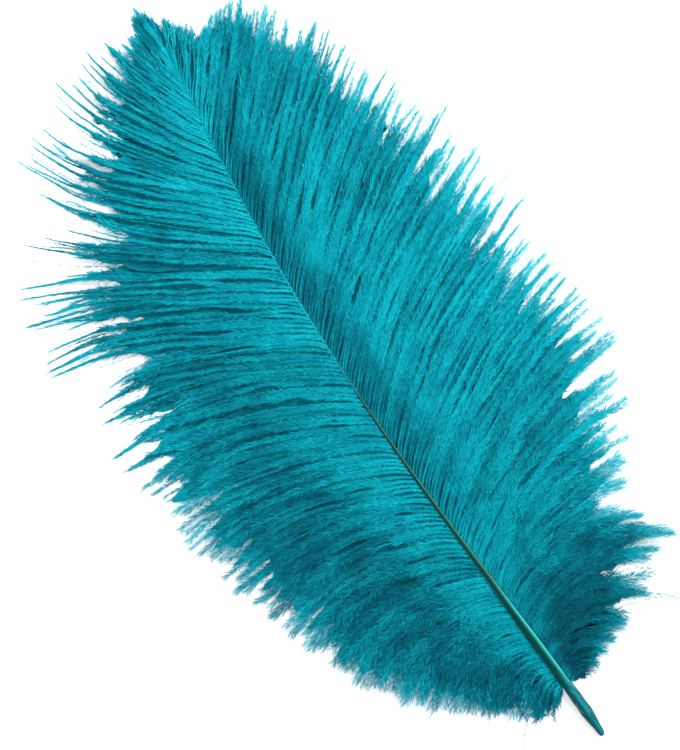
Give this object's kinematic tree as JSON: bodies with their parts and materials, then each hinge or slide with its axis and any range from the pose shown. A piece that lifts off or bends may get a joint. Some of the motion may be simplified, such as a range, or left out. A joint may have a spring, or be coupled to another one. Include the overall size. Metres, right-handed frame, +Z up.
{
  "type": "ostrich feather",
  "caption": "Ostrich feather lying flat: a slim tapering quill with two wide, loose vanes of soft dyed barbs that end in fluffy free tips.",
  "frame": {"origin": "middle of the bounding box in plan, on the surface that the feather lies on", "axes": "+Y along the quill from its blunt end to its tip, +X to the right with the quill end towards the viewer, +Z up from the surface"},
  "size_m": [0.1824, 0.301, 0.0087],
  "materials": {
    "dyed_barbs": "soft dyed barbs with a faint sheen",
    "dyed_quill": "smooth horn, dyed dark teal and half gloss"
  },
  "bodies": {
    "root": {"feather": "dyed_barbs"}
  },
  "joints": []
}
